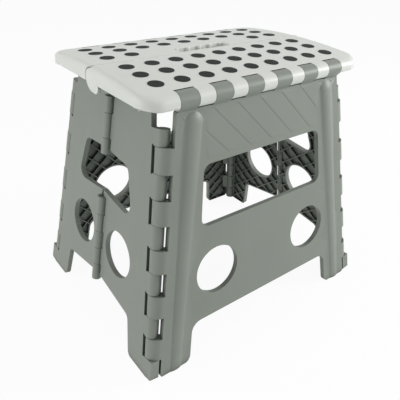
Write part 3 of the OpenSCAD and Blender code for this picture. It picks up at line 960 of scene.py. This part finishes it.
@dataclass
class Seat:
    """The seat: two skins, their ribbed undersides, the lobes and the pads."""

    plastic: bpy.types.Material
    rubber: bpy.types.Material
    inset: float = 0.12
    skin_test: float = 0.35
    rim_slack: float = 0.4
    margin: float = 0.3

    def skin(self, half: Half) -> SeatSkin:
        """Reads the sizes of one half from the frame."""
        _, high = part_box("seat_front_half")
        return SeatSkin(half, high[2] / MM, high[0] / MM - self.inset)

    def underside(self, node: str, shape: SeatSkin) -> bpy.types.Object:
        """Keeps what lies inside the skin: ribs, ears, webs and inner walls.

        A face goes if all its corners lie on the crown, on the wall, on the nose
        or at the rim, where the skin takes its place.

        Args:
            node: The CAD node to copy.
            shape: Sizes of its half.

        Returns:
            The remaining faces as one object.
        """
        mesh = frame["nodes"][node].data.copy()
        mesh.name = node + "_underside"
        mesh.materials.clear()
        merge(mesh, 0.002)
        co = np.empty(len(mesh.vertices) * 3)
        mesh.vertices.foreach_get("co", co)
        x, y, z = (co.reshape(-1, 3) / MM).T
        v = y * shape.half.value
        front_v = shape.hinge_v + shape.nose
        inner_x, inner_v = shape.half_length - shape.corner, front_v - shape.corner
        past_x, past_v = np.maximum(np.abs(x) - inner_x, 0), np.maximum(v - inner_v, 0)
        # depth inside the rounded rectangle of the outline
        depth = shape.corner - np.hypot(past_x, past_v)
        near_crown = shape.crown(v) - z < self.skin_test
        near_nose = np.abs(np.hypot(v - shape.hinge_v, z - shape.hinge_z) - shape.nose)
        near_nose = (near_nose < self.skin_test) & (v > shape.hinge_v - 2)
        rim, slack, margin = shape.top - shape.rim_depth, self.rim_slack, self.margin
        at_rim = (np.abs(z - rim) < slack) & (depth < shape.wall + slack)
        beside = np.abs(x) > shape.hook_half + margin
        beside &= v > front_v - shape.end_inside - 2 * slack
        at_rim |= beside & (z < rim - 0.1)
        in_slot = (np.abs(x) < shape.slot_half + margin) & (shape.half is Half.REAR)
        in_slot &= (v > shape.slot_near - margin) & (v < shape.slot_far + margin)
        outer = near_crown | (depth < self.skin_test) | near_nose | at_rim | in_slot
        work = bmesh.new()
        work.from_mesh(mesh)
        gone = [f for f in work.faces if all(outer[c.index] for c in f.verts)]
        bmesh.ops.delete(work, geom=gone, context="FACES")
        work.to_mesh(mesh)
        work.free()
        made = bpy.data.objects.new(node + "_underside", mesh)
        bpy.context.scene.collection.objects.link(made)
        mesh.shade_smooth()
        mesh.set_sharp_from_angle(angle=math.radians(32))
        return made

    def lobes(self, shape: SeatSkin) -> bpy.types.Object:
        """Round lobes of the front half that close the seam at both ends.

        Each is a disc whose radius at an angle is the larger of the lobe's own
        circle and the chin's, with a rolled edge. Its face follows the roll of
        the seat's edge: at a depth d below the crown it lies in by
        e - sqrt(e^2 - (e - d)^2), where e is the radius of that roll.

        Args:
            shape: Sizes of the front half.

        Returns:
            Both lobes as one object.
        """
        angle = np.linspace(0, 2 * math.pi, 145)
        toward = np.stack([np.cos(angle), np.sin(angle)], -1)
        chin = np.array(shape.chin)
        along = toward @ chin
        reach = np.maximum(
            shape.lobe_radius,
            along + np.sqrt(shape.chin_radius**2 - chin @ chin + along**2),
        )
        roll, rings = shape.lobe_roll, 22
        a = np.linspace(0, math.pi / 2, 6)
        share = np.concatenate([np.linspace(0, 0.97, rings), np.ones(len(a) + 1)])
        back = np.concatenate([np.full(rings, roll), roll * (1 - np.sin(a)), [0.0]])
        down = np.concatenate([np.zeros(rings), roll * (1 - np.cos(a)), [shape.wall]])
        flat, rolled = share[:, None], np.where(share < 1, 0, roll - back)[:, None]
        radius = flat * (reach - roll) + rolled
        y = shape.lobe_v + radius * np.cos(angle)
        z = shape.top - shape.lobe_drop + radius * np.sin(angle)
        e = shape.side_radius
        depth = np.clip(shape.crown(y) - z, 0, e)
        fall = e - np.sqrt(np.maximum(e * e - (e - depth) ** 2, 0))
        x = shape.half_length + self.inset - fall - down[:, None]
        sides = [np.stack([s * x, y, z], -1) for s in (1, -1)]
        made = surface("seat_lobes", sides, weld_mm=0.005)
        turn_outwards(made.data, 50)
        return made

    def build(self) -> None:
        """Builds and dresses both halves and their pads."""
        halves = {Half.FRONT: "seat_front_half", Half.REAR: "seat_rear_half"}
        for half, node in halves.items():
            shape = self.skin(half)
            dress(shape.build(node + "_skin"), self.plastic, Slot.SEAT, node)
            dress(self.underside(node, shape), self.plastic, Slot.SEAT, node)
        lobes = self.lobes(self.skin(Half.FRONT))
        dress(lobes, self.plastic, Slot.SEAT, halves[Half.FRONT])
        for node in ("front_grip_pads", "rear_grip_pads"):
            dress(eased_copy(node, 0.25), self.rubber, Slot.PADS, node)


@dataclass
class Stand:
    """The front and rear panels and the four halves of the two ends."""

    plastic: bpy.types.Material
    stepped: bpy.types.Material
    mould_radius: float = 0.45
    panels: tuple[str, ...] = ("front_panel", "rear_panel")
    ends: tuple[str, ...] = (
        "left_end_front",
        "left_end_rear",
        "right_end_front",
        "right_end_rear",
    )

    def build(self) -> None:
        """Builds and dresses the six mouldings."""
        for finish, nodes in ((self.stepped, self.panels), (self.plastic, self.ends)):
            for node in nodes:
                dress(eased_copy(node, self.mould_radius), finish, Slot.STAND, node)


@dataclass
class HingePins:
    """The steel pins in the corners, the middles of the ends and the seat."""

    steel: bpy.types.Material
    chamfer: float = 0.2

    def build(self) -> None:
        """Builds and dresses every node whose name holds the word pin."""
        for node in sorted(n for n in frame["nodes"] if "pin" in n.split("_")):
            dress(eased_copy(node, self.chamfer), self.steel, Slot.PINS, node)


# ---- Studio ------------------------------------------------------------------


@dataclass
class Studio:
    """White floor and backdrop, soft lamps, and the camera, sizes in metres."""

    floor_half: float = 12.0
    azimuth: float = -38.242
    elevation: float = 31.049
    roll: float = 1.972
    place: tuple[float, float, float] = (-0.345724, -0.433544, 0.443915)
    lens: float = 41.527
    world_level: float = 0.37
    floor_glow: float = 0.94
    lamps: tuple[tuple[str, tuple[float, float, float], float, float], ...] = (
        ("softbox_left", (-1.75, 0.35, 0.65), 0.9, 12.0),
        ("softbox_right", (1.6, -0.95, 0.8), 0.7, 26.0),
        ("softbox_top", (-0.1, -0.2, 1.7), 1.3, 4.5),
    )
    aim: tuple[float, float, float] = (0.0, 0.0, 0.16)

    def seen(self, tree: bpy.types.NodeTree) -> Socket:
        """One for rays from the camera, from gloss and through glass, else nought."""
        path = add_node(tree, "ShaderNodeLightPath")
        both = add_node(
            tree,
            "ShaderNodeMath",
            {"operation": "ADD", "use_clamp": True},
            links={0: path.outputs["Is Camera Ray"], 1: path.outputs["Is Glossy Ray"]},
        )
        return add_node(
            tree,
            "ShaderNodeMath",
            {"operation": "ADD", "use_clamp": True},
            links={0: both.outputs[0], 1: path.outputs["Is Transmission Ray"]},
        ).outputs[0]

    def floor(self) -> None:
        """Large flat floor, white to the eye, on which the stool's shadow shows."""
        side = np.linspace(-self.floor_half, self.floor_half, 9) / MM
        x, y = np.meshgrid(side, side)
        made = surface("studio_floor", [np.stack([x, y, np.full_like(x, -0.05)], -1)])
        paint = bpy.data.materials.new("matt_white_floor_paint")
        paint.use_nodes = True
        tree = paint.node_tree
        shader = tree.nodes["Principled BSDF"]
        shader.inputs["Base Color"].default_value = linear("#f2f3f2")
        shader.inputs["Roughness"].default_value = 0.8
        glow = add_node(
            tree, "ShaderNodeEmission", values={"Color": (1, 1, 1, 1), "Strength": 1.0}
        )
        share = add_node(
            tree,
            "ShaderNodeMath",
            {"operation": "MULTIPLY"},
            {1: self.floor_glow},
            {0: self.seen(tree)},
        )
        mix = add_node(
            tree,
            "ShaderNodeMixShader",
            links={0: share.outputs[0], 1: shader.outputs[0], 2: glow.outputs[0]},
        )
        tree.links.new(mix.outputs[0], tree.nodes["Material Output"].inputs["Surface"])
        made.data.materials.append(paint)

    def world(self) -> None:
        """Even soft light all round, with a white backdrop to the eye."""
        made = bpy.data.worlds.new("studio")
        bpy.context.scene.world = made
        made.use_nodes = True
        tree = made.node_tree
        back = tree.nodes["Background"]
        back.inputs["Color"].default_value = (1, 1, 1, 1)
        level = add_node(
            tree,
            "ShaderNodeMapRange",
            values={"To Min": self.world_level, "To Max": 1.0},
            links={"Value": self.seen(tree)},
        )
        tree.links.new(level.outputs["Result"], back.inputs["Strength"])

    def light(self) -> None:
        """Places the soft lamps, each turned towards the stool."""
        for name, spot, size, power in self.lamps:
            data = bpy.data.lights.new(name, "AREA")
            data.size, data.energy = size, power
            lamp = bpy.data.objects.new(name, data)
            bpy.context.scene.collection.objects.link(lamp)
            lamp.location = spot
            lamp.rotation_mode = "QUATERNION"
            towards = Vector(self.aim) - Vector(spot)
            lamp.rotation_quaternion = towards.to_track_quat("-Z", "Y")

    def camera(self) -> None:
        """Places the camera by its azimuth, elevation and roll."""
        data = bpy.data.cameras.new("view")
        data.lens, data.sensor_width, data.clip_start = self.lens, 36.0, 0.01
        made = bpy.data.objects.new("view", data)
        bpy.context.scene.collection.objects.link(made)
        a, e, r = (math.radians(d) for d in (self.azimuth, self.elevation, self.roll))
        level = math.cos(e)
        back = Vector((math.sin(a) * level, -math.cos(a) * level, math.sin(e)))
        right = Vector((math.cos(a), math.sin(a), 0.0))
        up = back.cross(right)
        turned_right = math.cos(r) * right + math.sin(r) * up
        turned_up = math.cos(r) * up - math.sin(r) * right
        turn = Matrix((turned_right, turned_up, back)).transposed().to_4x4()
        made.matrix_world = Matrix.Translation(Vector(self.place)) @ turn
        bpy.context.scene.camera = made

    def build(self) -> None:
        """Builds the whole studio."""
        self.floor()
        self.world()
        self.light()
        self.camera()
        bpy.context.scene.view_settings.view_transform = "Standard"


def main() -> None:
    """Builds the studio and the stool, piece by piece."""
    logging.basicConfig(level=logging.INFO, format="%(name)s: %(message)s")
    Studio().build()
    Stand(GREY_PANELS.material(), STEPPED_GREY_PANELS.material()).build()
    Seat(OFF_WHITE_SEAT.material(), GRIP_RUBBER.material()).build()
    HingePins(PIN_STEEL.material()).build()


if __name__ == "__main__":
    main()
